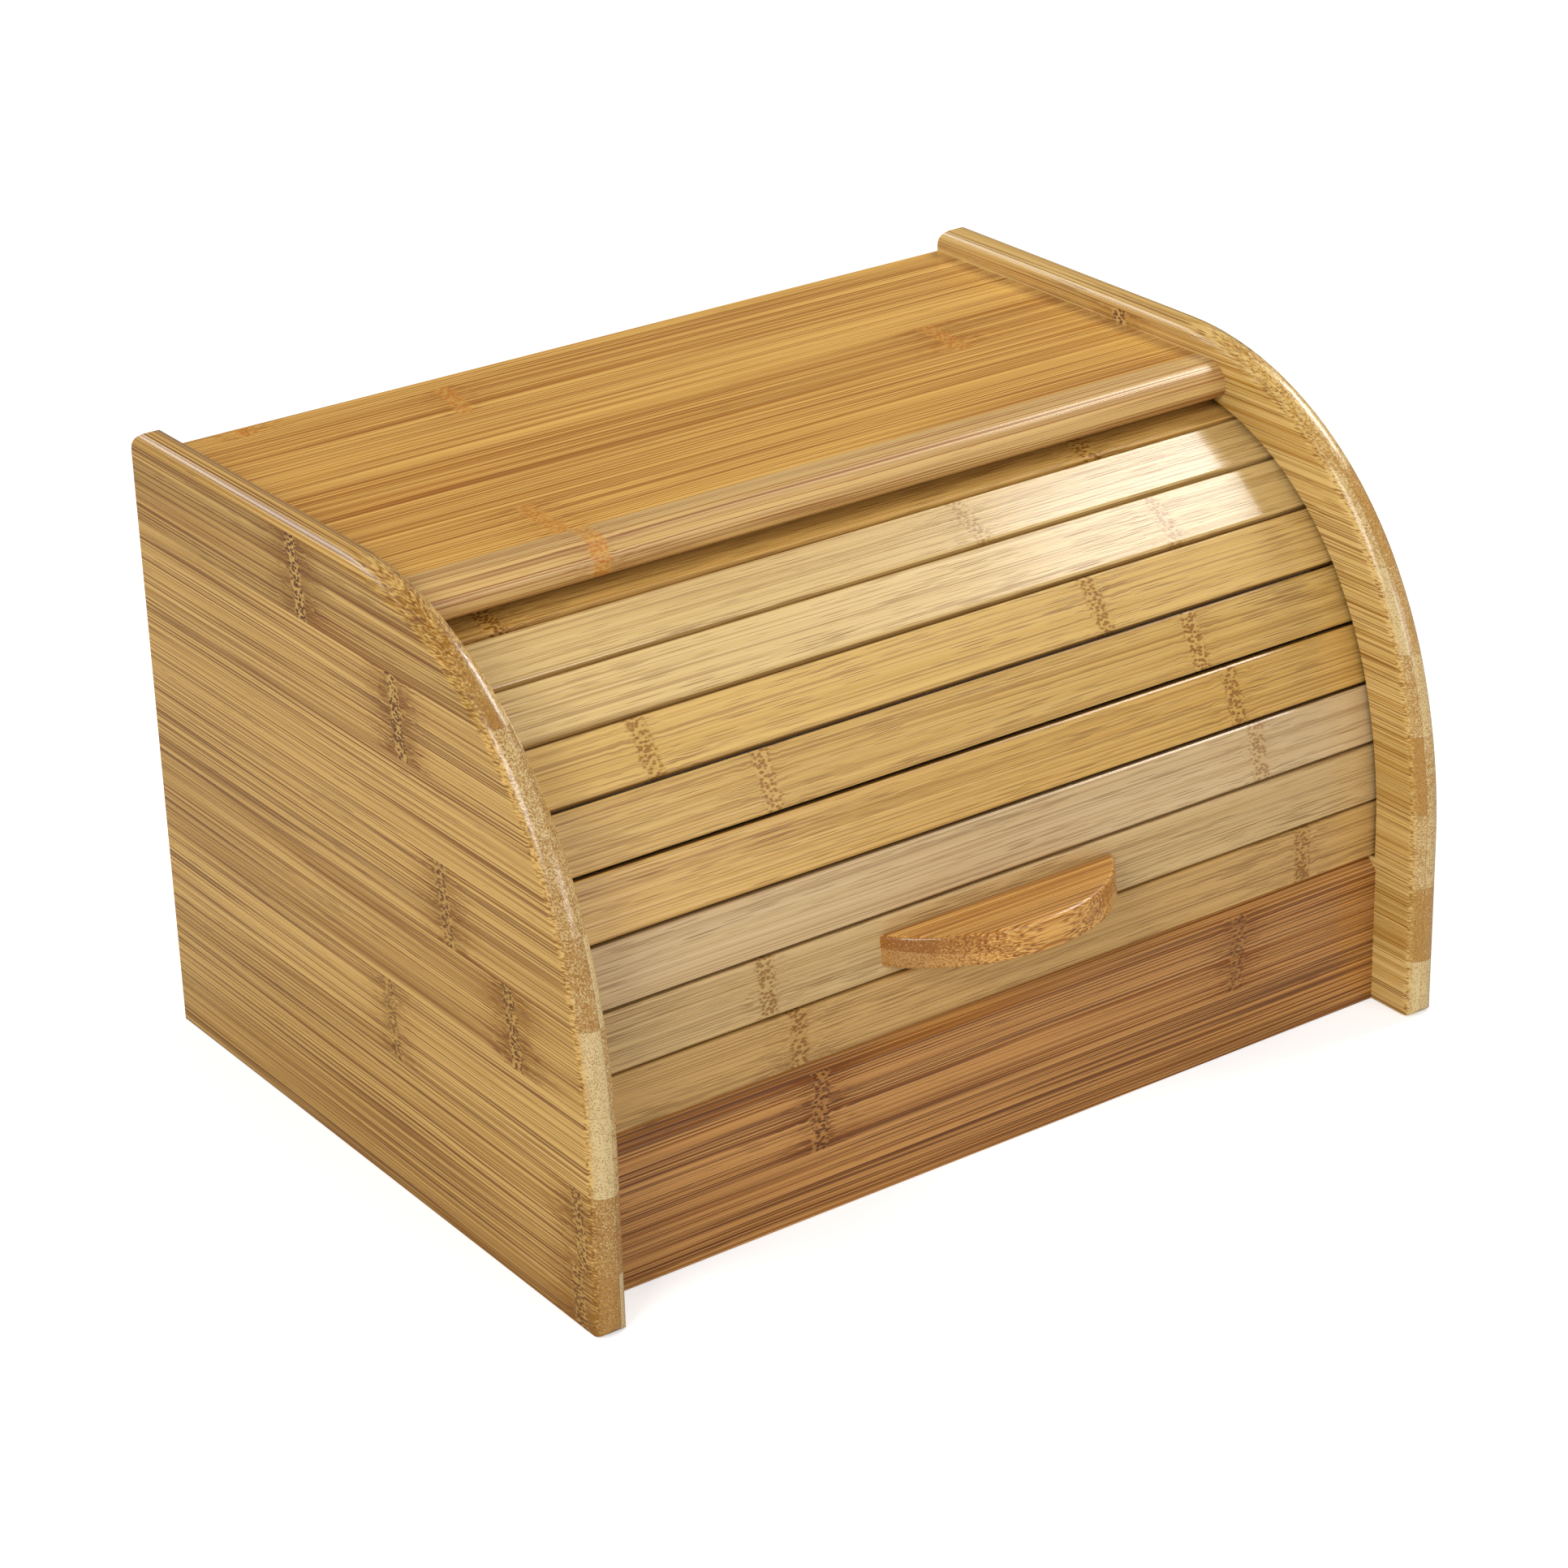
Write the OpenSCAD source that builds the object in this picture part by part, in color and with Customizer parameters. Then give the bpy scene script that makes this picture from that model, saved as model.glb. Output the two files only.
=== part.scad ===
// Bread box of laminated bamboo with a roll-top cover of slats glued on cloth.
// Two side panels carry the boards and the track in which the cover runs. The cover rolls up over
// the front and goes down behind, inside the box. Sizes are in millimetres, +Z is up, -Y is the
// front, and the origin is on the ground below the middle of the box and its handle.

/* [Box] */
// Width over both side panels
body_w = 390; // [300:1:520]
// Depth of the side panels, front to rear
body_d = 300; // [280:1:400]
// Height of the side panels
body_h = 248; // [240:1:330]

/* [Side panels] */
// Thickness of a side panel
side_t = 12.5; // [11:0.5:18]
// Rounding of both long edges along the front and the top
edge_round = 6; // [1:0.5:6]
// Radius of the outline at the panels' upper rear corner
rear_corner = 9; // [1:0.5:12]
// Radius of the outline at the panels' foot in front
foot_corner = 5; // [1:0.5:10]
// Radius of the panel's outline over the crown
crown_r = 140; // [130:1:145]
// Radius of the outline between crown and front
middle_r = 170; // [155:1:180]
// Radius of the outline low on the front
lower_r = 235; // [220:1:245]
// Sine of the angle that the lower and the middle arc each turn through
arc_lean = 0.28; // [0.24:0.01:0.3]

/* [Boards] */
// Thickness of the top board
top_board_t = 14.2; // [12:0.1:18]
// How far the side panels stand above the top board
panel_rise = 10.5; // [8:0.5:14]
// Front edge of the top board, behind the front of the panels
top_board_front = 116.5; // [100:0.5:130]
// Rounding of the top board's upper front edge
nose_upper_r = 9.2; // [5:0.1:10]
// Thickness of the back panel
back_t = 12; // [9:0.5:16]
// Thickness of the front board
front_board_t = 12; // [10:0.5:16]
// Height of the front board
front_board_h = 61; // [40:1:62]
// How far the front board stands proud of the closed cover's face
front_board_proud = 2; // [0:0.5:3]
// Bevel along the front board's upper front edge
front_bevel = 5; // [2:0.5:7]
// Thickness of the bottom board
bottom_t = 7; // [5:0.5:10]
// Height of the bottom board's underside above the ground
bottom_gap = 8; // [5:0.5:15]
// Depth of the groove that holds the bottom board
bottom_groove = 5; // [3:0.5:6]

/* [Roll-top cover] */
// Width of a slat and its gap, measured on the cloth
slat_pitch = 23; // [18:0.5:28]
// Gap between neighbouring slats on the cloth
slat_gap = 0.5; // [0.4:0.1:1]
// Thickness of a slat
slat_t = 6.8; // [5:0.1:8.5]
// Bevel along the slats' outer edges
slat_bevel = 0.7; // [0.3:0.1:1.2]
// Setback of the cover's outer face from the panels' outline
cover_inset = 25.3; // [24:0.1:31]
// Length of cover that stays tucked under the top board
cover_tuck = 60; // [50:1:70]
// Gap between the closed cover and the front board
cover_seat = 0.3; // [0.2:0.1:1]
// Thickness of the cloth
cloth_t = 0.6; // [0.4:0.1:1]
// Bare end of each slat beyond the cloth, inside the box
cloth_margin = 5; // [3:0.5:10]

/* [Track] */
// Depth of the track in each side panel
track_depth = 6; // [4:0.5:7]
// Gap between a slat's end and the bottom of the track
track_end_gap = 1; // [0.5:0.1:1.5]
// Gap between the cover's outer face and the track's outer wall
track_outer_gap = 1.4; // [1.3:0.1:2]
// Gap between the cover's inner face and the track's inner wall
track_inner_gap = 3.8; // [3.6:0.1:4.5]
// Angle over the crown at which the track ends behind, from the level to the front
track_end = 192; // [185:1:200]

/* [Handle] */
// Length of the half-moon handle along the slat
handle_w = 107; // [80:1:140]
// Projection of the handle from the slat
handle_d = 32; // [22:0.5:36]
// Thickness of the handle
handle_t = 12.5; // [9:0.5:15]
// Distance of the handle's middle below the middle of its slat
handle_drop = 1.4; // [0:0.1:3]
// Rounding of the handle's curved edges
handle_round = 1.5; // [0.5:0.1:3]
// Distance between the two screws that hold the handle
screw_spread = 50; // [30:1:60]
// Diameter of a screw's shank
screw_d = 3.5; // [3:0.1:4]
// Length of a screw
screw_l = 22; // [18:1:26]

/* [Dowels] */
// Diameter of the dowels between boards and panels
dowel_d = 6; // [5:0.5:6]
// Length of a dowel
dowel_l = 25; // [20:1:30]
// Depth of a dowel in the side panel
dowel_in_panel = 7; // [5:0.5:8]

/* [Hidden] */
$fn = 96;
PULL_SLAT = 2;          // slat that carries the handle
FREE_SLATS = 4;         // slats of the lower front, each with its own strip of cloth
overshoot = 1;          // how far a cut reaches past the face that it opens in
hole_play = 0.05;       // play round a dowel or a screw
groove_play = 0.1;      // play above and below the bottom board
dowel_end_play = 0.5;   // play past each end of a dowel
edge_flat = 0.5;        // least flat between the two roundings of an edge
screw_head_d = 2 * screw_d;
screw_head_h = 2.2;

edge_r = min(edge_round, (side_t - edge_flat) / 2);
inner_w = body_w - 2 * side_t;
panel_x = -body_w / 2;
top_board_z = body_h - panel_rise - top_board_t;
front_board_setback = cover_inset - front_board_proud;
nose_lower_r = top_board_t - nose_upper_r;

// The outline of a panel's front: a plumb edge, then three arcs that meet smoothly. A direction on
// an arc is the angle from level, seen from the arc's centre: 0 is the front, 90 the crown.
arc_turn = asin(arc_lean);
OUTLINE_R = [lower_r, middle_r, crown_r];
ARC_FROM = [0, arc_turn, 2 * arc_turn];
ARC_TO = [arc_turn, 2 * arc_turn, 90];
function ray(a) = [-cos(a), sin(a)];
arcs_rise = lower_r * sin(ARC_TO[0])
          + middle_r * (sin(ARC_TO[1]) - sin(ARC_TO[0]))
          + crown_r * (1 - sin(ARC_TO[1]));
plumb_top = body_h - arcs_rise;
lower_centre = [lower_r, plumb_top];
middle_centre = lower_centre + (lower_r - middle_r) * ray(arc_turn);
crown_centre = middle_centre + (middle_r - crown_r) * ray(2 * arc_turn);
ARC_CENTRE = [lower_centre, middle_centre, crown_centre];

// The cloth's line runs at an even distance inside the outline. A length along it starts at the
// lower end of the closed cover.
cloth_inset = cover_inset + slat_t;
cover_foot = front_board_h + cover_seat;
function cloth_r(i) = OUTLINE_R[i] - cloth_inset;
function arc_length(i) = cloth_r(i) * (ARC_TO[i] - ARC_FROM[i]) * PI / 180;
plumb_length = plumb_top - cover_foot;
ARC_START = [plumb_length, plumb_length + arc_length(0), plumb_length + arc_length(0) + arc_length(1)];
function arc_of(s) = s < ARC_START[1] ? 0 : s < ARC_START[2] ? 1 : 2;
function arc_angle(i, s) = ARC_FROM[i] + (s - ARC_START[i]) / cloth_r(i) * 180 / PI;
function cloth_point(s) = s < plumb_length
    ? [cloth_inset, cover_foot + s]
    : let (i = arc_of(s)) ARC_CENTRE[i] + cloth_r(i) * ray(arc_angle(i, s));

// The mouth ends where the cover goes under the top board's front edge.
mouth_angle = acos((crown_centre[0] - top_board_front) / (crown_r - cover_inset));
mouth_length = ARC_START[2] + (mouth_angle - ARC_FROM[2]) * PI / 180 * cloth_r(2);
slat_count = ceil((mouth_length + cover_tuck) / slat_pitch);
slat_w = slat_pitch - slat_gap;
slat_l = inner_w + 2 * (track_depth - track_end_gap);
cloth_w = inner_w - 2 * cloth_margin;

// A slat is flat: its inner face lies on the chord of the cloth's line. On a slat, u runs up along
// the inner face from its lower edge, and v runs out of the box.
function slat_low(n) = cloth_point((n - 1) * slat_pitch + slat_gap / 2);
function slat_high(n) = cloth_point(n * slat_pitch - slat_gap / 2);
function slat_dir(n) = (slat_high(n) - slat_low(n)) / norm(slat_high(n) - slat_low(n));
function on_slat(n, u, v) = (slat_low(n) + slat_high(n)) / 2
    + (u - slat_w / 2) * slat_dir(n)
    + v * [-slat_dir(n)[1], slat_dir(n)[0]];
function slat_tilt(n) = atan2(slat_dir(n)[0], slat_dir(n)[1]);

// The handle's foot is its middle on the slat's outer face.
handle_u = slat_w / 2 - handle_drop;
handle_foot = on_slat(PULL_SLAT, handle_u, slat_t);
handle_tilt = slat_tilt(PULL_SLAT);
handle_r = (handle_w * handle_w / 4 + handle_d * handle_d) / (2 * handle_d);
// The lower corner of the rounded nose comes foremost.
handle_front = handle_foot[0] - (handle_d - handle_round) * cos(handle_tilt)
             - (handle_t / 2 - handle_round) * sin(handle_tilt) - handle_round;
centre_y = (handle_front + body_d) / 2;

top_dowel_z = top_board_z + top_board_t / 2;
TOP_DOWELS_Y = [top_board_front + 30, (top_board_front + body_d) / 2, body_d - 30];
BACK_DOWELS_Z = [40, top_board_z / 2, top_board_z - 40];
FRONT_DOWELS_Z = [front_board_h / 4, front_board_h * 3 / 4];
DOWELS = concat(
    [for (y = TOP_DOWELS_Y) [y, top_dowel_z]],
    [for (z = BACK_DOWELS_Z) [body_d - back_t / 2, z]],
    [for (z = FRONT_DOWELS_Z) [front_board_setback + front_board_t / 2, z]]);

function two_digits(n) = n < 10 ? str("0", n) : str(n);
function slat_name(n) = str("slat_", two_digits(n));
function strip_name(n) = str("cloth_strip_", two_digits(n));

// Everything is drawn from the front of the panels, then moved so that the origin is in the middle.
module placed() {
    translate([0, -centre_y, 0]) children();
}

// Draws a side view, given as [y, z], and makes it as long as w across the box from x.
module across(x, w) {
    translate([x, 0, 0]) rotate([90, 0, 90]) linear_extrude(w) children();
}

// Turns a radial section, given as [radius, x], round arc i from direction a to direction b.
module along_arc(i, a, b) {
    translate([0, ARC_CENTRE[i][0], ARC_CENTRE[i][1]])
        rotate([90, 0, 90])
            rotate_extrude(angle = b - a, start = 180 - b) children();
}

// ---- side panels -------------------------------------------------------------------------------

// A strip across a panel's edge, l deep: the edge itself is at y = 0 and both corners are round.
module edge_section(l) {
    translate([0, edge_r]) square([side_t, l - edge_r]);
    translate([edge_r, 0]) square([side_t - 2 * edge_r, l]);
    for (x = [edge_r, side_t - edge_r]) translate([x, edge_r]) circle(edge_r);
}

module panel_blank() {
    core = crown_r / 2;
    bore = crown_r / 4;
    linear_extrude(plumb_top) edge_section(crown_centre[0]);
    translate([0, body_d, body_h]) rotate([90, 0, 0])
        linear_extrude(body_d - crown_centre[0]) mirror([0, 1]) edge_section(crown_r);
    translate([0, crown_centre[0] - core, 0])
        cube([side_t, body_d - crown_centre[0] + core, crown_centre[1] + core]);
    for (i = [0 : 2]) along_arc(i, ARC_FROM[i], ARC_TO[i])
        translate([OUTLINE_R[i], 0]) rotate(90) edge_section(OUTLINE_R[i] - bore);
}

// Rounds a corner of the outline about the point c. The corner lies up and to the rear of c, or
// half a turn from there.
module corner_cut(c, r, turn) {
    across(-overshoot, side_t + 2 * overshoot)
        translate(c) rotate(turn) difference() {
            square(r + overshoot);
            circle(r);
        }
}

module track_cut() {
    x = side_t - track_depth;
    depth = track_depth + overshoot;
    band = track_outer_gap + slat_t + track_inner_gap;
    translate([x, cover_inset - track_outer_gap, front_board_h])
        cube([depth, band, plumb_top - front_board_h]);
    for (i = [0 : 2]) along_arc(i, ARC_FROM[i], i == 2 ? track_end : ARC_TO[i])
        translate([cloth_r(i) - track_inner_gap, x]) square([band, depth]);
}

module bottom_groove_cut() {
    rear = body_d - back_t;
    front = front_board_setback + front_board_t;
    translate([side_t - bottom_groove, front, bottom_gap - groove_play])
        cube([bottom_groove + overshoot, rear - front, bottom_t + 2 * groove_play]);
}

module panel() {
    difference() {
        panel_blank();
        corner_cut([body_d - rear_corner, body_h - rear_corner], rear_corner, 0);
        corner_cut([foot_corner, foot_corner], foot_corner, 180);
        track_cut();
        bottom_groove_cut();
        dowel_set(side_t - dowel_in_panel - dowel_end_play, dowel_d + 2 * hole_play);
    }
}

module side_panel_left() {
    color("#d9a968") placed() translate([panel_x, 0, 0]) panel();
}

module side_panel_right() {
    color("#d9a968") placed() mirror([1, 0, 0]) translate([panel_x, 0, 0]) panel();
}

// ---- boards between the panels -----------------------------------------------------------------

// Cuts the dowel holes into both ends of a board.
module drilled() {
    difference() {
        children();
        for (m = [0, 1]) mirror([m, 0, 0]) translate([panel_x, 0, 0])
            dowel_set(side_t - dowel_in_panel, dowel_d + 2 * hole_play, dowel_end_play);
    }
}

module top_board_section() {
    nose_z = top_board_z + nose_lower_r;
    upper_y = top_board_front + nose_upper_r;
    lower_y = top_board_front + nose_lower_r;
    translate([upper_y, top_board_z]) square([body_d - upper_y, top_board_t]);
    translate([lower_y, top_board_z]) square([upper_y - lower_y, nose_lower_r]);
    intersection() {
        translate([upper_y, nose_z]) circle(nose_upper_r);
        translate([top_board_front, nose_z]) square(nose_upper_r);
    }
    intersection() {
        translate([lower_y, nose_z]) circle(nose_lower_r);
        translate([top_board_front, top_board_z]) square(nose_lower_r);
    }
}

module top_board() {
    color("#c98f4e") placed() drilled()
        across(-inner_w / 2, inner_w) top_board_section();
}

module back_panel() {
    color("#c8965a") placed() drilled()
        across(-inner_w / 2, inner_w)
            translate([body_d - back_t, 0]) square([back_t, top_board_z]);
}

module front_board() {
    y = front_board_setback;
    color("#bf7f42") placed() drilled()
        across(-inner_w / 2, inner_w)
            polygon([
                [y, 0],
                [y + front_board_t, 0],
                [y + front_board_t, front_board_h],
                [y + front_bevel, front_board_h],
                [y, front_board_h - front_bevel]]);
}

module bottom_board() {
    front = front_board_setback + front_board_t;
    w = inner_w + 2 * (bottom_groove - groove_play);
    color("#cfa268") placed()
        across(-w / 2, w)
            translate([front, bottom_gap]) square([body_d - back_t - front, bottom_t]);
}

// ---- roll-top cover ----------------------------------------------------------------------------

module slat_blank(n) {
    b = slat_bevel;
    across(-slat_l / 2, slat_l)
        polygon([
            on_slat(n, 0, 0),
            on_slat(n, 0, slat_t - b),
            on_slat(n, b, slat_t),
            on_slat(n, slat_w - b, slat_t),
            on_slat(n, slat_w, slat_t - b),
            on_slat(n, slat_w, 0)]);
}

module slat(n) {
    color(n % 2 == 0 ? "#dcb16e" : "#d3a662") placed()
        difference() {
            slat_blank(n);
            if (n == PULL_SLAT) screw_set(hole_play);
        }
}

// Cloth behind slats first to last, as one sheet that bends at the gaps.
module cloth(first, last) {
    outer = [for (n = [first : last]) each [on_slat(n, 0, 0), on_slat(n, slat_w, 0)]];
    inner = [for (n = [last : -1 : first])
        each [on_slat(n, slat_w, -cloth_t), on_slat(n, 0, -cloth_t)]];
    color("#b9b2a4") placed() across(-cloth_w / 2, cloth_w) polygon(concat(outer, inner));
}

module on_pull_slat() {
    translate([0, handle_foot[0], handle_foot[1]]) rotate([-handle_tilt, 0, 0]) children();
}

// A board cut from a disc: the flat side meets the slat, and the curved edges are eased.
module handle() {
    rim = handle_r - handle_round;
    side = handle_t - 2 * handle_round;
    color("#cf9450") placed() on_pull_slat() difference() {
        intersection() {
            translate([0, handle_r - handle_d, 0]) rotate_extrude() {
                translate([0, -handle_t / 2]) square([rim, handle_t]);
                translate([0, -side / 2]) square([handle_r, side]);
                for (z = [-side / 2, side / 2]) translate([rim, z]) intersection() {
                    circle(handle_round);
                    translate([0, -handle_round]) square([handle_round, 2 * handle_round]);
                }
            }
            translate([-handle_w, -handle_d - overshoot, -handle_t])
                cube([2 * handle_w, handle_d + overshoot, 2 * handle_t]);
        }
        screws_in_slat(hole_play);
    }
}

// Countersunk screws: the head is flush with the slat's inner face, the point is in the handle.
module screws_in_slat(play) {
    for (x = [-screw_spread / 2, screw_spread / 2])
        translate([x, slat_t, 0]) rotate([90, 0, 0]) rotate_extrude()
            polygon([
                [0, 0],
                [screw_head_d / 2 + play, 0],
                [screw_d / 2 + play, screw_head_h],
                [screw_d / 2 + play, screw_l + play],
                [0, screw_l + play]]);
}

module screw_set(play) {
    on_pull_slat() screws_in_slat(play);
}

module handle_screws() {
    color("#b8b8b4") placed() screw_set(0);
}

// ---- dowels ------------------------------------------------------------------------------------

// Pins across the left joint, from x on, or their holes if d and end_play are enlarged.
module dowel_set(x, d, end_play = 0) {
    for (p = DOWELS)
        translate([x, p[0], p[1]]) rotate([0, 90, 0]) cylinder(d = d, h = dowel_l + end_play);
}

module dowels() {
    color("#c9a877") placed()
        for (m = [0, 1]) mirror([m, 0, 0]) translate([panel_x, 0, 0])
            dowel_set(side_t - dowel_in_panel, dowel_d);
}

side_panel_left();
side_panel_right();
top_board();
back_panel();
bottom_board();
front_board();
for (n = [1 : slat_count]) slat(n);
for (n = [1 : FREE_SLATS]) cloth(n, n);
cloth(FREE_SLATS + 1, slat_count);  // cloth_main
handle();
handle_screws();
dowels();
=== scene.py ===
"""The looks of a bread box of laminated bamboo with a roll-top cover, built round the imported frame."""

import math

import bmesh
import bpy
from mathutils import Matrix, Vector


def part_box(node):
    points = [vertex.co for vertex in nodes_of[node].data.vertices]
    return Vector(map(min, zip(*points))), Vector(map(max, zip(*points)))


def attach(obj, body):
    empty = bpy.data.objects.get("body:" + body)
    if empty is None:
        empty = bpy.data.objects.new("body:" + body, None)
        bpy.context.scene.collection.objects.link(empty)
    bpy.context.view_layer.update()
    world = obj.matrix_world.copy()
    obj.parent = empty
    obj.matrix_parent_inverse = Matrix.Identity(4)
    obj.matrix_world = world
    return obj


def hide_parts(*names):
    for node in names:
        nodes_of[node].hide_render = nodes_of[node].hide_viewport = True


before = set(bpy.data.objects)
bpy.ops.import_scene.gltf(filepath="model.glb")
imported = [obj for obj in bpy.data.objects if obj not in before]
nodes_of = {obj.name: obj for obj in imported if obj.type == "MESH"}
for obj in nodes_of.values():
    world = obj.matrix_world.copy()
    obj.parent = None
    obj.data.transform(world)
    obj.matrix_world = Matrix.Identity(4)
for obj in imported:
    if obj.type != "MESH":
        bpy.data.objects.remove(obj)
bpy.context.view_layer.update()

MM = 0.001

# ---- shader nodes as sums ------------------------------------------------------------------------


def feed(tree, socket, value):
    """Gives a socket a number, a colour or what another node works out."""
    if isinstance(value, Field):
        tree.links.new(value.socket, socket)
    else:
        socket.default_value = value


class Field:
    """A number, colour, point or shader that nodes work out; the operators add math nodes."""

    def __init__(self, tree, socket):
        self.tree = tree
        self.socket = socket

    def math(self, operation, *others):
        node = self.tree.nodes.new("ShaderNodeMath")
        node.operation = operation
        for socket, value in zip(node.inputs, (self, *others)):
            feed(self.tree, socket, value)
        return Field(self.tree, node.outputs[0])

    def __add__(self, other):
        return self.math("ADD", other)

    def __sub__(self, other):
        return self.math("SUBTRACT", other)

    def __mul__(self, other):
        return self.math("MULTIPLY", other)

    def __truediv__(self, other):
        return self.math("DIVIDE", other)

    def floor(self):
        return self.math("FLOOR")

    def size(self):
        return self.math("ABSOLUTE")

    def most(self, other):
        """The larger of the two."""
        return self.math("MAXIMUM", other)

    def over(self, limit):
        """1 where this is over the limit, and 0 elsewhere."""
        return self.math("GREATER_THAN", limit)

    def inverse(self):
        """1 less this."""
        return self * -1.0 + 1.0

    def ramp(self, low, high):
        """Goes smoothly from 0 at low to 1 at high; low may be the larger."""
        node = self.tree.nodes.new("ShaderNodeMapRange")
        node.interpolation_type = "SMOOTHSTEP"
        for socket, value in zip(node.inputs, (self, min(low, high), max(low, high))):
            feed(self.tree, socket, value)
        risen = Field(self.tree, node.outputs["Result"])
        return risen if low < high else risen.inverse()

    def bell(self, width):
        """1 at zero, falling away evenly on both sides over about that width."""
        scaled = self / width
        return (scaled * scaled * -1.0).math("EXPONENT")


def join(tree, kind, *values):
    """Adds a node and gives its first inputs these values, in their order."""
    node = tree.nodes.new(kind)
    for socket, value in zip(node.inputs, values):
        feed(tree, socket, value)
    return Field(tree, node.outputs[0])


def point(x, y, z):
    return join(x.tree, "ShaderNodeCombineXYZ", x, y, z)


def blur(at, detail, rough=0.5):
    """Smooth noise about 0, mostly between -1 and 1, one wave to a unit."""
    node = at.tree.nodes.new("ShaderNodeTexNoise")
    feed(at.tree, node.inputs["Vector"], at)
    node.inputs["Scale"].default_value = 1.0
    node.inputs["Detail"].default_value = detail
    node.inputs["Roughness"].default_value = rough
    return (Field(at.tree, node.outputs[0]) - 0.5) * 3.0


def cells(at):
    """Distance to the nearest of points strewn one to a unit, and a chance number for that point."""
    node = at.tree.nodes.new("ShaderNodeTexVoronoi")
    feed(at.tree, node.inputs["Vector"], at)
    node.inputs["Scale"].default_value = 1.0
    chance = join(at.tree, "ShaderNodeSeparateColor", Field(at.tree, node.outputs["Color"]))
    return Field(at.tree, node.outputs["Distance"]), chance


def dice(at):
    """A chance number from -1 to 1 for each point."""
    node = at.tree.nodes.new("ShaderNodeTexWhiteNoise")
    feed(at.tree, node.inputs["Vector"], at)
    return Field(at.tree, node.outputs["Value"]) * 2.0 - 1.0


def mix(share, a, b):
    """The colour a where share is 0 and b where it is 1."""
    node = share.tree.nodes.new("ShaderNodeMix")
    node.data_type = "RGBA"
    feed(share.tree, node.inputs["Factor"], share)
    for socket, value in zip(node.inputs[6:8], (a, b)):
        feed(share.tree, socket, value if isinstance(value, Field) else (*value, 1.0))
    return Field(share.tree, node.outputs[2])


def bump(height, depth_mm):
    node = height.tree.nodes.new("ShaderNodeBump")
    node.inputs["Strength"].default_value = 1.0
    node.inputs["Distance"].default_value = depth_mm * MM
    feed(height.tree, node.inputs["Height"], height)
    return Field(height.tree, node.outputs[0])


def coordinates(tree, name):
    """One of the texture coordinates as three fields."""
    node = tree.nodes.new("ShaderNodeTexCoord")
    split = tree.nodes.new("ShaderNodeSeparateXYZ")
    tree.links.new(node.outputs[name], split.inputs[0])
    return [Field(tree, out) for out in split.outputs]


def object_point(tree):
    """Where a point lies on the resting box, in millimetres, as x, y and z."""
    return [value * (1 / MM) for value in coordinates(tree, "Object")]


def distance(tree):
    """How far a point is from its object's origin, in metres."""
    x, y, z = coordinates(tree, "Object")
    return (x * x + y * y + z * z).math("SQRT")


def empty_tree(owner):
    """Clears a material's or the world's nodes; returns its tree and the socket to feed."""
    owner.use_nodes = True
    tree = owner.node_tree
    tree.nodes.clear()
    kind = "ShaderNodeOutputWorld" if isinstance(owner, bpy.types.World) else "ShaderNodeOutputMaterial"
    return tree, tree.nodes.new(kind).inputs["Surface"]


def shaded_material(name):
    material = bpy.data.materials.new(name)
    material.use_nodes = True
    return material, material.node_tree, material.node_tree.nodes["Principled BSDF"]


# ---- camera --------------------------------------------------------------------------------------

# The photograph's camera: its place in metres, its angles in degrees.
PHOTO_PIXELS = 1932
FOCAL_PIXELS = 5331.7
SENSOR_MM = 36.0
CAMERA_AT = (-0.86381, -1.22652, 0.80633)
CAMERA_AZIMUTH = 34.853
CAMERA_DOWN = 25.169
CAMERA_ROLL = -1.635


def make_camera():
    az, down, roll = (math.radians(v) for v in (CAMERA_AZIMUTH, CAMERA_DOWN, CAMERA_ROLL))
    forward = Vector((math.sin(az) * math.cos(down), math.cos(az) * math.cos(down), -math.sin(down)))
    level = Vector((math.cos(az), -math.sin(az), 0.0))
    upright = level.cross(forward)
    right = level * math.cos(roll) + upright * math.sin(roll)
    up = upright * math.cos(roll) - level * math.sin(roll)
    data = bpy.data.cameras.new("camera")
    data.sensor_width = SENSOR_MM
    data.lens = FOCAL_PIXELS / PHOTO_PIXELS * SENSOR_MM
    camera = bpy.data.objects.new("camera", data)
    bpy.context.scene.collection.objects.link(camera)
    turn = Matrix((right, up, -forward)).transposed()
    camera.matrix_world = Matrix.Translation(CAMERA_AT) @ turn.to_4x4()
    bpy.context.scene.camera = camera


make_camera()

# ---- floor and light -----------------------------------------------------------------------------

# Metres and watts; greys and strengths are linear.
FLOOR_SIZE = 12
FLOOR_DROP = 0.0002      # keeps the floor off the underside
FLOOR_GREY = 0.8
FLOOR_MIRRORED = 0.25    # the floor's grey as the box's gloss shows it
FLOOR_GLOW = 0.48        # for the camera alone, so that the floor looks white
FAR_GLOW = 0.68          # the same far out, where the lamps don't reach
GLOW_FROM = 0.6
GLOW_TO = 1.8
WORLD_LIGHT = 0.45
WORLD_SEEN = 1.0         # the world's strength for the camera
WORLD_MIRRORED = 0.17    # and for gloss


def grey(value):
    return (value, value, value, 1)


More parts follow.
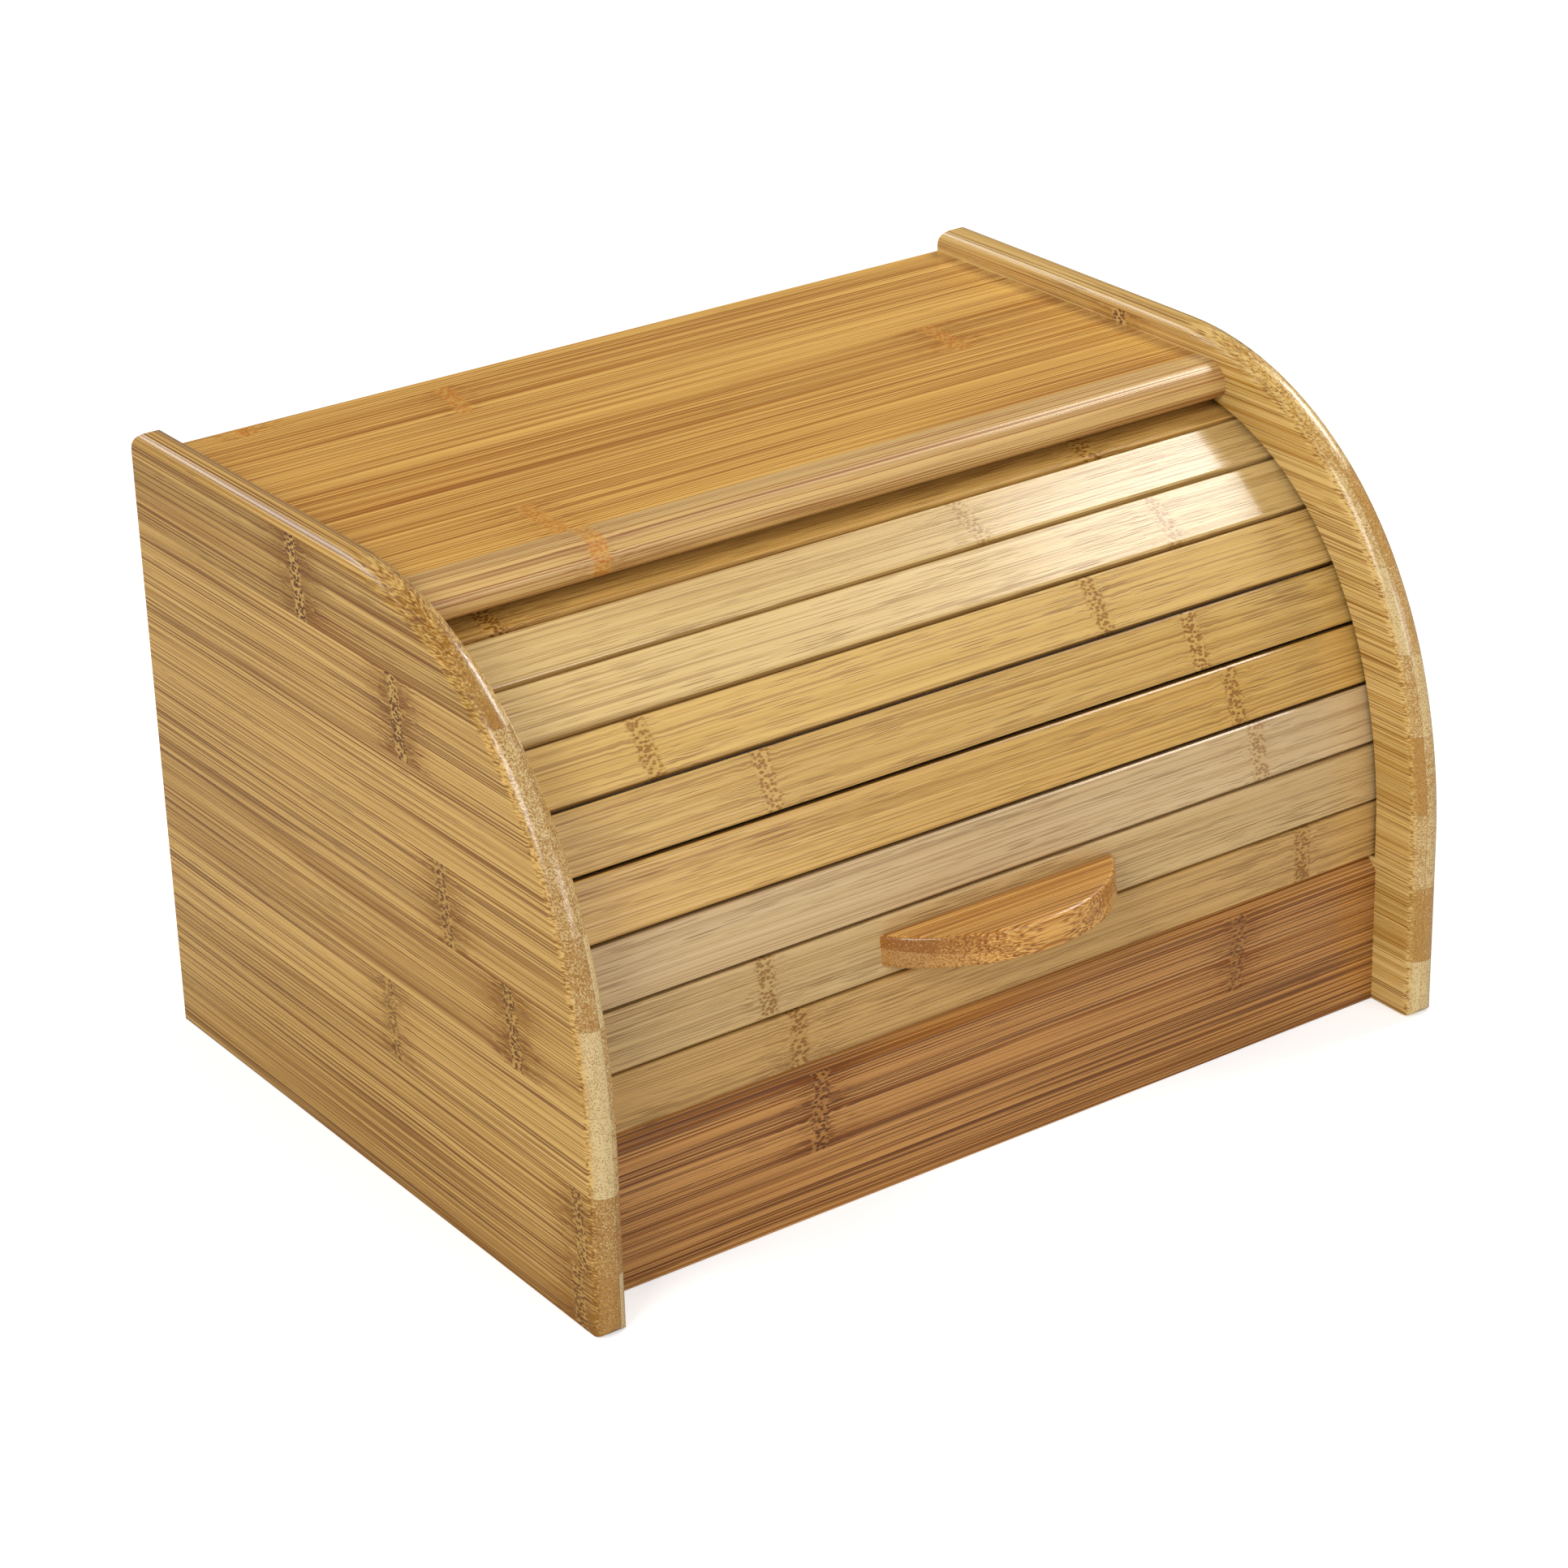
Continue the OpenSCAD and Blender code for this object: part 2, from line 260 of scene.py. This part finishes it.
def make_floor():
    bpy.ops.mesh.primitive_plane_add(size=FLOOR_SIZE)
    floor = bpy.context.object
    floor.name = "floor"
    floor.location.z = -FLOOR_DROP
    material = bpy.data.materials.new("floor")
    tree, surface = empty_tree(material)
    path = tree.nodes.new("ShaderNodeLightPath")
    plain = join(tree, "ShaderNodeBsdfDiffuse", grey(FLOOR_GREY))
    dim = join(tree, "ShaderNodeBsdfDiffuse", grey(FLOOR_MIRRORED))
    in_gloss = Field(tree, path.outputs["Is Glossy Ray"])
    lit = join(tree, "ShaderNodeMixShader", in_gloss, plain, dim)
    seen = Field(tree, path.outputs["Is Camera Ray"])
    far = distance(tree).ramp(GLOW_FROM, GLOW_TO)
    white = far * (FAR_GLOW - FLOOR_GLOW) + FLOOR_GLOW
    glow = join(tree, "ShaderNodeEmission", grey(1), seen * white)
    feed(tree, surface, join(tree, "ShaderNodeAddShader", lit, glow))
    floor.data.materials.append(material)


def make_world():
    world = bpy.data.worlds.new("world")
    bpy.context.scene.world = world
    tree, surface = empty_tree(world)
    path = tree.nodes.new("ShaderNodeLightPath")
    seen = Field(tree, path.outputs["Is Camera Ray"])
    in_gloss = Field(tree, path.outputs["Is Glossy Ray"])
    strength = seen * (WORLD_SEEN - WORLD_LIGHT) + WORLD_LIGHT
    strength = strength + in_gloss * (WORLD_MIRRORED - WORLD_LIGHT)
    feed(tree, surface, join(tree, "ShaderNodeBackground", grey(1), strength))


def make_lamp(name, at, aim, size, watts):
    data = bpy.data.lights.new(name, "AREA")
    data.shape = "RECTANGLE"
    data.size, data.size_y = size
    data.energy = watts
    lamp = bpy.data.objects.new(name, data)
    bpy.context.scene.collection.objects.link(lamp)
    lamp.location = at
    lamp.rotation_euler = (Vector(aim) - Vector(at)).to_track_quat("-Z", "Y").to_euler()


make_floor()
make_world()
make_lamp("key", (-1.8, -0.9, 1.3), (0, 0, 0.1), (0.9, 1.1), 23)
make_lamp("bank", (1.35, 0.02, 1.5), (0, 0, 0.15), (0.75, 0.6), 17)
make_lamp("front", (0.5, -2.1, 0.85), (0, 0, 0.12), (1.3, 0.6), 11)
make_lamp("rear", (-1.1, 1.7, 1.25), (0, 0, 0.15), (1.0, 0.6), 9)
bpy.context.scene.view_settings.view_transform = "Standard"

# ---- bamboo's pattern ----------------------------------------------------------------------------

# Laminated bamboo is one solid pattern: fibres lie along the grain, so a face cut along them shows
# streaks and a face cut across them shows dots. Colours are linear. Lengths are in millimetres.

# How long and how wide one wave of each layer is.
BAND = (420.0, 3.2)
THREAD = (280.0, 0.65)
LONG_LINE = (200.0, 0.55)
PATCH = (70.0, 12.0)
SWAY = (140.0, 30.0)
TWIST = (6.0, 3.0)
SCRATCH = (50.0, 0.7)
DASH_RUN = 28.0
PORE_RUN = 5.0

# What the layers add to the level that goes from a board's dark colour to its light one.
MEAN_LEVEL = 0.56
BAND_LEVEL = 0.22
THREAD_LEVEL = 0.80
STRIP_LEVEL = 0.20

# How strongly the dark marks cover the colour.
LINE_INK = 0.75
DASH_INK = 0.8
PORE_INK = 0.55
GLUE_INK = 0.4

GLUE_LINE = 0.25         # half a glue line's width
SLIP = 300.0             # how far the pattern slips along from strip to strip
PLY_LOT = 17.0           # keeps the plies' chance numbers apart
SWAY_WIDTH = 0.45        # how far fibres drift on clear wood
TWIST_WIDTH = 0.8        # and how much further beside a knuckle
DASH_REACH = 0.13        # more reach makes longer and wider dashes

KNUCKLE_FULL = 2.6       # half width of a knuckle's core, and where the core has faded out
KNUCKLE_END = 4.8
KNUCKLE_SHADE = 15.0
KNUCKLE_RAGGED = 1.6
RAGGED_WAVE = 1.7
GRIT = (1.9, 1.15)       # a knuckle's grains, along and across

# The surface's relief, what each layer adds to it, and its gloss.
RELIEF = 0.05
INK_RELIEF = -0.7
GRIT_RELIEF = 1.6
SCRATCH_RELIEF = 0.6
ROUGH = 0.27
INK_ROUGH = 0.30
SHINE = 0.4
COAT_ROUGH = 0.13


class Bamboo:
    """What sets one board's pattern apart from the next."""

    grain = "x"            # the axis along the fibres
    across = "y"           # the axis from strip to strip
    deep = "z"             # the axis from ply to ply
    seed = 0.0             # a place in the noise
    strip = 31.3           # a strip's width
    strip_from = -7.3      # where strip 0 starts
    ply = None             # where two plies meet, along deep
    lines = 1.0            # strength of the long dark lines
    dashes = 1.0           # strength of the short dark dashes
    threads = 1.0          # strength of the thin streaks
    bands = 1.0            # strength of the wide streaks
    flames = 0.0           # how many more dashes there are
    dash = 0.8             # width from one dash to the next
    pore = 0.62            # width from one dot to the next, where the fibres are cut
    fan = 0.5              # how dark it is about a knuckle
    soot = 0.8             # how bright a knuckle's dark grains are, against the lines
    coat = 0.5             # weight of the varnish
    cut_tone = 0.95        # how much strips differ by chance, where the fibres are cut
    front = None           # the front strip's own colour
    knuckles = ()          # each: strip's number, place along the grain, lean, strength
    end_tones = ()         # each: strip's number, 1 beyond the ply's face or 0, change of level

    def __init__(self, light, dark, line, tip, **own):
        self.light = light
        self.dark = dark
        self.line = line
        self.tip = tip
        vars(self).update(own)


class Board:
    """Where a point lies among one board's fibres, strips, plies and knuckles."""

    def __init__(self, tree, kind):
        xyz = dict(zip("xyz", object_point(tree)))
        self.along, self.side, self.deep = xyz[kind.grain], xyz[kind.across], xyz[kind.deep]
        self.seed = kind.seed
        self.find_strip(kind)
        self.find_knuckles(kind)
        self.find_drift()
        normal = dict(zip("xyz", coordinates(tree, "Normal")))
        self.cut = normal[kind.grain].size().ramp(0.30, 0.80)

    def find_strip(self, kind):
        """The strip's number, the glue lines, and what each strip has by chance."""
        strip_at = (self.side - kind.strip_from) / kind.strip
        self.strip = strip_at.floor()
        self.in_strip = strip_at - self.strip
        self.glue = (self.in_strip.inverse() * self.in_strip * kind.strip).ramp(GLUE_LINE, 0.0)
        self.lot = self.strip
        if kind.ply is not None:
            self.lot = self.strip + self.deep.over(kind.ply) * PLY_LOT
            self.glue = self.glue.most((self.deep - kind.ply).size().ramp(GLUE_LINE, 0.0))
        lot, seed = self.lot, self.seed
        self.tone = dice(point(lot, lot * 0.37 + seed, lot * 0.11))
        self.run = self.along + dice(point(lot * 0.71, lot + seed, lot * 0.23)) * SLIP

    def find_knuckles(self, kind):
        """How far a point is inside a knuckle's core, and in the shade about it."""
        self.ragged = blur(point(self.side / RAGGED_WAVE, self.deep / RAGGED_WAVE, self.lot), 1.0)
        self.ragged = self.ragged * KNUCKLE_RAGGED
        self.core = self.lot * 0.0
        self.shade = self.core
        for number, place, lean, strength in kind.knuckles:
            here = self.on_strip(number) * strength
            off = self.along - place - (self.in_strip - 0.5) * lean + self.ragged
            self.core = self.core.most(off.size().ramp(KNUCKLE_END, KNUCKLE_FULL) * here)
            self.shade = self.shade.most(off.bell(KNUCKLE_SHADE) * here)

    def find_drift(self):
        """Fibres are nearly straight, and drift beside a knuckle."""
        sway = blur(self.straight(self.run, *SWAY), 1.0) * SWAY_WIDTH
        sway = sway + blur(self.straight(self.along, *TWIST), 1.0) * self.shade * TWIST_WIDTH
        self.side_in = self.side + sway
        self.deep_in = self.deep + sway * 0.6

    def on_strip(self, number):
        """1 on that strip and 0 on the others."""
        return (self.strip - number).size().ramp(0.6, 0.4)

    def straight(self, run, length, width):
        """A point for noise that doesn't follow the fibres' drift."""
        return point(run / length, self.side / width, self.deep / width)

    def fibre(self, length, width, extra):
        """A point for noise that follows the fibres; extra keeps the layers apart."""
        return point(self.run / length + self.seed + extra, self.side_in / width, self.deep_in / width)


def shades(colour, *factors):
    return tuple(c * f for c, f in zip(colour, factors))


def fibre_level(board, kind, bands):
    """How light the wood is, from the streaks, the strips and the knuckles' shade."""
    threads = blur(board.fibre(*THREAD, 5.0), 1.0)
    level = bands * (BAND_LEVEL * kind.bands) + threads * (THREAD_LEVEL * kind.threads) + MEAN_LEVEL
    level = level + board.tone * (board.cut * kind.cut_tone + STRIP_LEVEL)
    for number, outer, change in kind.end_tones:
        past = board.deep - kind.ply
        ply = past.ramp(-0.1, 0.1) if outer else past.ramp(0.1, -0.1)
        level = level + board.on_strip(number) * ply * board.cut * change
    return level - board.shade * kind.fan


def wood_colour(board, kind, level, patch):
    """The wood without its dark marks: along the fibres, and where they are cut."""
    colour = mix(level.ramp(-0.10, 1.10), kind.dark, kind.light)
    warm = (patch * 0.6 - board.tone * 0.35).ramp(0.05, 0.8) * 0.25
    colour = mix(warm, colour, shades(kind.light, 0.80, 0.92, 0.92))
    if kind.front is not None:
        front = mix(level.ramp(-0.2, 1.2), shades(kind.front, 0.6, 0.55, 0.5), kind.front)
        colour = mix((board.strip * -1.0).ramp(-0.6, -0.4) * 0.6, colour, front)
    ends = mix(level.ramp(0.05, 1.05), shades(kind.tip, 0.66, 0.44, 0.22), kind.tip)
    return mix(board.cut * 0.80, colour, ends)


def line_ink(board, kind, bands):
    """Long dark lines, only where a face lies along the fibres."""
    lines = blur(board.fibre(*LONG_LINE, 13.0), 0.0)
    long_line = (lines + bands * -0.30).ramp(0.14, 0.55)
    return long_line * (LINE_INK * kind.lines) * board.cut.inverse()


def dash_ink(board, kind, patch):
    """Short dark dashes, which crowd in patches and about the knuckles."""
    reach = patch * 0.20 + board.cut * -0.05 + (DASH_REACH + kind.flames)
    reach = reach + board.shade * (kind.fan * 0.65)
    away, chance = cells(board.fibre(DASH_RUN, kind.dash, 9.0))
    dash = (reach - away).ramp(-0.03, 0.10) * chance.ramp(-0.6, 0.6)
    return dash * (DASH_INK * kind.dashes)


def pore_ink(board, kind):
    """Dots where the fibres are cut across."""
    away, chance = cells(point(board.run / PORE_RUN, board.side_in / kind.pore, board.deep_in / kind.pore))
    pore = (chance * 0.10 + 0.34 - away).ramp(-0.05, 0.12) * board.cut.ramp(0.35, 0.9)
    return pore * PORE_INK


def knuckle_grit(board):
    """The height of a knuckle's grains."""
    length, width = GRIT
    at = point(board.along / length, board.side / width, board.deep / width + board.seed)
    away, chance = cells(at)
    return away + chance * 0.12 + board.ragged * 0.06 - 0.50


def bamboo_material(name, kind):
    material, tree, shader = shaded_material(name)
    board = Board(tree, kind)
    bands = blur(board.fibre(*BAND, 0.0), 1.0)
    length, width = PATCH
    patch = blur(point(board.run / length, board.side / width, board.deep / width + kind.seed), 1.0)
    grit = knuckle_grit(board)
    ink = line_ink(board, kind, bands).most(dash_ink(board, kind, patch))

    colour = wood_colour(board, kind, fibre_level(board, kind, bands), patch)
    colour = mix(ink, colour, kind.line)
    colour = mix(pore_ink(board, kind), colour, shades(kind.line, 1.1, 1.1, 1.1))
    colour = mix(board.glue * GLUE_INK, colour, kind.line)
    dark_grain = shades(kind.line, kind.soot, kind.soot, kind.soot)
    grains = mix(grit.ramp(-0.06, 0.20), dark_grain, shades(kind.light, 0.8, 0.75, 0.6))
    colour = mix(board.core, colour, grains)

    height = ink * INK_RELIEF + grit * board.core * GRIT_RELIEF
    height = height + blur(board.straight(board.along, *SCRATCH), 1.0) * SCRATCH_RELIEF
    feed(tree, shader.inputs["Base Color"], colour)
    feed(tree, shader.inputs["Roughness"], ink * INK_ROUGH + ROUGH)
    feed(tree, shader.inputs["Normal"], bump(height, RELIEF))
    shader.inputs["Specular IOR Level"].default_value = SHINE
    shader.inputs["Coat Weight"].default_value = kind.coat
    shader.inputs["Coat Roughness"].default_value = COAT_ROUGH
    return material


# ---- the boards, the handle and the slats --------------------------------------------------------

GOLD = dict(light=(0.74, 0.455, 0.132), dark=(0.31, 0.125, 0.008), line=(0.17, 0.050, 0.002),
            tip=(0.64, 0.50, 0.255))
AMBER = dict(light=(0.82, 0.56, 0.200), dark=(0.52, 0.265, 0.040), line=(0.24, 0.080, 0.005),
             tip=(0.68, 0.53, 0.27))
ORANGE = dict(light=(0.80, 0.455, 0.100), dark=(0.40, 0.140, 0.004), line=(0.28, 0.080, 0.001),
              tip=(0.60, 0.38, 0.13))
RED = dict(light=(0.57, 0.275, 0.076), dark=(0.21, 0.056, 0.002), line=(0.11, 0.026, 0.001),
           tip=(0.50, 0.31, 0.12))
RUST = dict(light=(0.80, 0.430, 0.110), dark=(0.34, 0.115, 0.008), line=(0.18, 0.048, 0.002),
            tip=(0.46, 0.25, 0.080))
# Slats 7 and 8: pale wood with a painted sheen in its colour, lighter and less yellow where light falls on
# the upturned slats.
PALE_WITH_SHEEN = dict(light=(0.78, 0.56, 0.240), dark=(0.53, 0.32, 0.090), line=(0.26, 0.110, 0.014),
            tip=(0.66, 0.46, 0.22))
HONEY = dict(light=(0.70, 0.435, 0.128), dark=(0.46, 0.230, 0.034), line=(0.20, 0.070, 0.006),
             tip=(0.66, 0.46, 0.22))
BUTTER = dict(HONEY, light=(0.735, 0.485, 0.165), dark=(0.49, 0.265, 0.055))
# Slat 2: tan wood, made less saturated partly by a painted reflection, a pale haze over its colour.
TAN_WITH_SHEEN = dict(light=(0.66, 0.455, 0.205), dark=(0.44, 0.26, 0.085), line=(0.20, 0.085, 0.012),
           tip=(0.66, 0.46, 0.22))
OCHRE = dict(light=(0.62, 0.38, 0.130), dark=(0.38, 0.19, 0.040), line=(0.18, 0.065, 0.006),
             tip=(0.66, 0.46, 0.22))
# Slat 3: partly the wood's pinkish tone and partly a painted reflection, a pale haze laid over the colour.
PINK_WITH_SHEEN = dict(light=(0.73, 0.53, 0.295), dark=(0.54, 0.355, 0.155), line=(0.26, 0.12, 0.035),
            tip=(0.66, 0.46, 0.22))
PEG = dict(light=(0.64, 0.43, 0.22), dark=(0.52, 0.32, 0.15), line=(0.36, 0.19, 0.08),
           tip=(0.60, 0.40, 0.20))

BODY_DEPTH = 300.0
FRONT_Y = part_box("back_panel")[1].y / MM - BODY_DEPTH
PLY_FROM_MIDDLE = 186.8  # where a side panel's two plies meet
PANEL_SEED = 3.0

# Knuckles of both side panels, and those near the foot of the left one; places are from the front.
PANEL_KNUCKLES = [(7, 179, 5, 1.0), (6, 114, 5, 0.95), (4, 89, 4, 0.7), (3, 48, 4, 0.8),
                  (2, 131.8, 4, 0.6)]
FOOT_KNUCKLES = [(1, 11, 4, 0.7), (0, 13, 4, 0.7)]

# How light each strip is on the panels' edges, from the lowest up: the ply below the meeting plane
# along x, and the ply beyond it.
LEFT_ENDS = ((-0.30, -0.35, 0.5, 0.45, -0.45, -0.3, -0.25, -0.35),
             (0.35, -0.15, -0.1, -0.35, 0.5, -0.35, -0.4))
RIGHT_ENDS = ((0.35, -0.25, -0.1, -0.35, -0.15, 0.4, -0.3),
              (0.45, -0.1, 0.45, 0.1, 0.5, -0.35, -0.2, -0.35))

NOSE_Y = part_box("top_board")[0].y / MM
NOSE_STRIP = 17.0        # width of the top board's strip at its nose


def dress(node, material):
    piece = nodes_of[node]
    piece.data.materials.clear()
    piece.data.materials.append(material)


def panel_kind(side, tint, knuckles, ends):
    """side is -1 for the left panel and 1 for the right one."""
    tones = [(number, outer, change) for outer, plies in enumerate(ends)
             for number, change in enumerate(plies)]
    places = [(number, y + FRONT_Y, lean, strength) for number, y, lean, strength in knuckles]
    return Bamboo(**tint, grain="y", across="z", deep="x", ply=side * PLY_FROM_MIDDLE,
                  seed=PANEL_SEED + side, knuckles=places, end_tones=tones, cut_tone=0.20)


def top_board_kind():
    knuckles = [(6, -148, 3, 0.8), (5, -70, 5, 0.7), (3, 118, 4, 0.7), (1, -110, 3, 0.6),
                (0, -106, 3, 0.6)]
    return Bamboo(**ORANGE, seed=11.0, strip_from=NOSE_Y + NOSE_STRIP - Bamboo.strip, dashes=0.6,
                  threads=1.25, fan=0.3, soot=1.9, front=(0.62, 0.43, 0.20), coat=0.15,
                  knuckles=knuckles)


def front_board_kind():
    return Bamboo(**RED, across="z", deep="y", seed=5.0, strip_from=-5.0, threads=1.25,
                  knuckles=[(1, -84, 2, 0.7), (1, 112, 2, 0.5)])


def back_panel_kind():
    return Bamboo(**GOLD, across="z", deep="y", seed=21.0, knuckles=[(2, 60, 3, 0.7), (5, -90, 3, 0.6)])


def handle_kind():
    low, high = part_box("handle")
    return Bamboo(**RUST, seed=31.0, strip=200.0, strip_from=-300.0, dashes=0.5, pore=0.42,
                  ply=(low.z + high.z) / 2 / MM)


dress("side_panel_left", bamboo_material(
    "panel_left", panel_kind(-1, GOLD, PANEL_KNUCKLES + FOOT_KNUCKLES, LEFT_ENDS)))
dress("side_panel_right", bamboo_material(
    "panel_right", panel_kind(1, AMBER, PANEL_KNUCKLES, RIGHT_ENDS)))
dress("top_board", bamboo_material("top_board", top_board_kind()))
dress("front_board", bamboo_material("front_board", front_board_kind()))
dress("back_panel", bamboo_material("back_panel", back_panel_kind()))
dress("bottom_board", bamboo_material("bottom_board", Bamboo(**GOLD, seed=23.0)))
dress("handle", bamboo_material("handle", handle_kind()))

# Each slat's tint, and its knuckles as place from the middle, lean and strength. The tints of slats 2, 3,
# 7 and 8 hold painted sheen as well as the wood's colour.
SLATS = {
    1: (OCHRE, [(-91, 4, 0.8), (146, 4, 0.8)]),
    2: (TAN_WITH_SHEEN, [(-103, 4, 0.8)]),
    3: (PINK_WITH_SHEEN, [(127, 4, 0.75)]),
    4: (HONEY, [(120, 4, 0.8)]),
    5: (BUTTER, [(-87, 7, 0.75), (109, 4, 0.8)]),
    6: (BUTTER, [(-128, 5, 0.75), (73, 4, 0.75)]),
    7: (PALE_WITH_SHEEN, [(120, 4, 0.6)]),
    8: (PALE_WITH_SHEEN, [(44, 4, 0.6)]),
    9: (GOLD, [(112, 4, 0.8), (-154, 4, 0.9)]),
    10: (GOLD, [(30, 4, 0.8)]),
    11: (GOLD, [(-60, 4, 0.8)]),
}
SLAT_SEED = 40.0
SLAT_EASE = 0.16         # width of a slat's eased edge
EASE_ANGLE = 40          # the least angle, in degrees, of an edge that is eased
WELD = 0.01


def slat_name(number):
    return f"slat_{number:02d}"


def slat_kind(number):
    tint, places = SLATS[number]
    return Bamboo(**tint, across="z", deep="y", seed=SLAT_SEED + number, strip=400.0,
                  strip_from=-100.0, lines=0.6, dashes=0.95, threads=0.45, bands=0.5, flames=0.16,
                  pore=0.55, dash=0.50, fan=0.10, soot=1.25,
                  knuckles=[(0, x, lean, strength) for x, lean, strength in places])


def ease_edges(node, width_mm):
    """Takes the sharpness off a sawn piece's edges."""
    piece = nodes_of[node]
    weld = piece.modifiers.new("weld", "WELD")
    weld.merge_threshold = WELD * MM
    ease = piece.modifiers.new("ease", "BEVEL")
    ease.width = width_mm * MM
    ease.segments = 2
    ease.limit_method = "ANGLE"
    ease.angle_limit = math.radians(EASE_ANGLE)
    ease.harden_normals = True


for slat_number in SLATS:
    slat = slat_name(slat_number)
    dress(slat, bamboo_material(slat, slat_kind(slat_number)))
    ease_edges(slat, SLAT_EASE)

# ---- dowels and screws ---------------------------------------------------------------------------

WEAR_WAVE = 0.8
WEAR_RELIEF = 0.01


def steel_material():
    material, tree, shader = shaded_material("steel")
    wear = blur(point(*(v / WEAR_WAVE for v in object_point(tree))), 3.0)
    colour = mix(wear.ramp(-0.6, 0.7), (0.42, 0.42, 0.41), (0.66, 0.66, 0.64))
    feed(tree, shader.inputs["Base Color"], colour)
    feed(tree, shader.inputs["Roughness"], wear * 0.10 + 0.32)
    feed(tree, shader.inputs["Normal"], bump(wear, WEAR_RELIEF))
    shader.inputs["Metallic"].default_value = 1.0
    return material


dress("dowels", bamboo_material("dowel", Bamboo(
    **PEG, seed=51.0, strip=900.0, strip_from=-450.0, lines=0.4, dashes=0.5, threads=0.4)))
dress("handle_screws", steel_material())

# ---- cloth ---------------------------------------------------------------------------------------

CLOTH_THICK = 0.6
CLOTH_SHRINK = 0.02      # how much thinner the woven sheet is than the CAD cloth
THREAD_PITCH = 0.9
WEAVE_RELIEF = 0.16
CLOTH_COLUMNS = 71
SAME_POINT = 0.01        # closer points of a CAD cloth are one
SAME_LENGTH = 0.02       # how far an edge that closes its end may be off its thickness


def canvas_material():
    """Plain weave: threads over and under one another, with fluff and glue shades, and painted shade where
    the threads dip under.
    """
    material, tree, shader = shaded_material("canvas")
    across, along = [value * (1 / THREAD_PITCH) for value in coordinates(tree, "UV")[:2]]
    fluff = blur(point(across * 0.8, along * 0.8, 0.0), 2.0)
    bend = blur(point(across * 0.06, along * 0.06, 0.0), 1.0) * 0.5
    soil = blur(point(across * 0.03, along * 0.09, 0.0), 2.0)
    weft = ((across + along + bend) * math.pi).math("SINE")
    warp = ((across - along - bend) * math.pi).math("SINE")
    # The colour is darker where the threads dip under: painted shade in the weave's hollows. The same
    # pattern gives the bump's relief.
    over = (weft * warp).ramp(-0.9, 0.9)
    level = over * 0.6 + fluff * 0.25 + soil * 0.18
    colour = mix(level.ramp(-0.2, 0.9), (0.20, 0.165, 0.125), (0.52, 0.47, 0.395))
    feed(tree, shader.inputs["Base Color"], colour)
    feed(tree, shader.inputs["Normal"], bump(over + fluff * 0.4, WEAVE_RELIEF))
    shader.inputs["Roughness"].default_value = 0.92
    shader.inputs["Specular IOR Level"].default_value = 0.15
    return material


def cloth_rows(node):
    """The cloth's middle line as (y, z) points up the cover, and its half width, from the CAD piece."""
    form = bmesh.new()
    form.from_mesh(nodes_of[node].data)
    bmesh.ops.remove_doubles(form, verts=form.verts, dist=SAME_POINT * MM)
    ends = [face for face in form.faces if face.normal.x > 0.99]
    face = bmesh.ops.dissolve_faces(form, faces=ends)["region"][0]
    ring = [v.co.copy() for v in face.verts]
    form.free()
    first = next(i for i in range(len(ring))
                 if abs((ring[i] - ring[i - 1]).length / MM - CLOTH_THICK) < SAME_LENGTH)
    ring = ring[first:] + ring[:first]
    half = len(ring) // 2
    middle = [(a + b) / 2 for a, b in zip(ring[:half], reversed(ring[half:]))]
    if middle[0].z > middle[-1].z and middle[0].y > middle[-1].y:
        middle.reverse()
    return [(p.y, p.z) for p in middle], ring[0].x


def weave_mesh(name, rows, half_w, reach):
    """A grid over the rows, with UVs in millimetres of flat cloth."""
    form = bmesh.new()
    uv = form.loops.layers.uv.new("UVMap")
    places = [half_w * (2 * i / (CLOTH_COLUMNS - 1) - 1) for i in range(CLOTH_COLUMNS)]
    grid = [[form.verts.new((x, y, z)) for x in places] for y, z in rows]
    for j, (low, high) in enumerate(zip(grid, grid[1:])):
        for i in range(CLOTH_COLUMNS - 1):
            face = form.faces.new((low[i], low[i + 1], high[i + 1], high[i]))
            for loop, v in zip(face.loops, (reach[j], reach[j], reach[j + 1], reach[j + 1])):
                loop[uv].uv = (loop.vert.co.x / MM, v / MM)
    mesh = bpy.data.meshes.new(name)
    form.to_mesh(mesh)
    form.free()
    return mesh


def make_cloth(node, body):
    rows, half_w = cloth_rows(node)
    reach = [0.0]
    for a, b in zip(rows, rows[1:]):
        reach.append(reach[-1] + math.dist(a, b))
    name = node + "_weave"
    piece = bpy.data.objects.new(name, weave_mesh(name, rows, half_w, reach))
    bpy.context.scene.collection.objects.link(piece)
    piece.data.materials.append(CANVAS)
    thick = piece.modifiers.new("thick", "SOLIDIFY")
    thick.thickness = (CLOTH_THICK - CLOTH_SHRINK) * MM
    thick.offset = 0.0
    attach(piece, body)
    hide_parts(node)


CANVAS = canvas_material()
make_cloth("cloth_strip_01", "foot_slat")
make_cloth("cloth_strip_02", "pull_slat")
make_cloth("cloth_strip_03", "slat_3")
make_cloth("cloth_strip_04", "slat_4")
make_cloth("cloth_main", "cover")
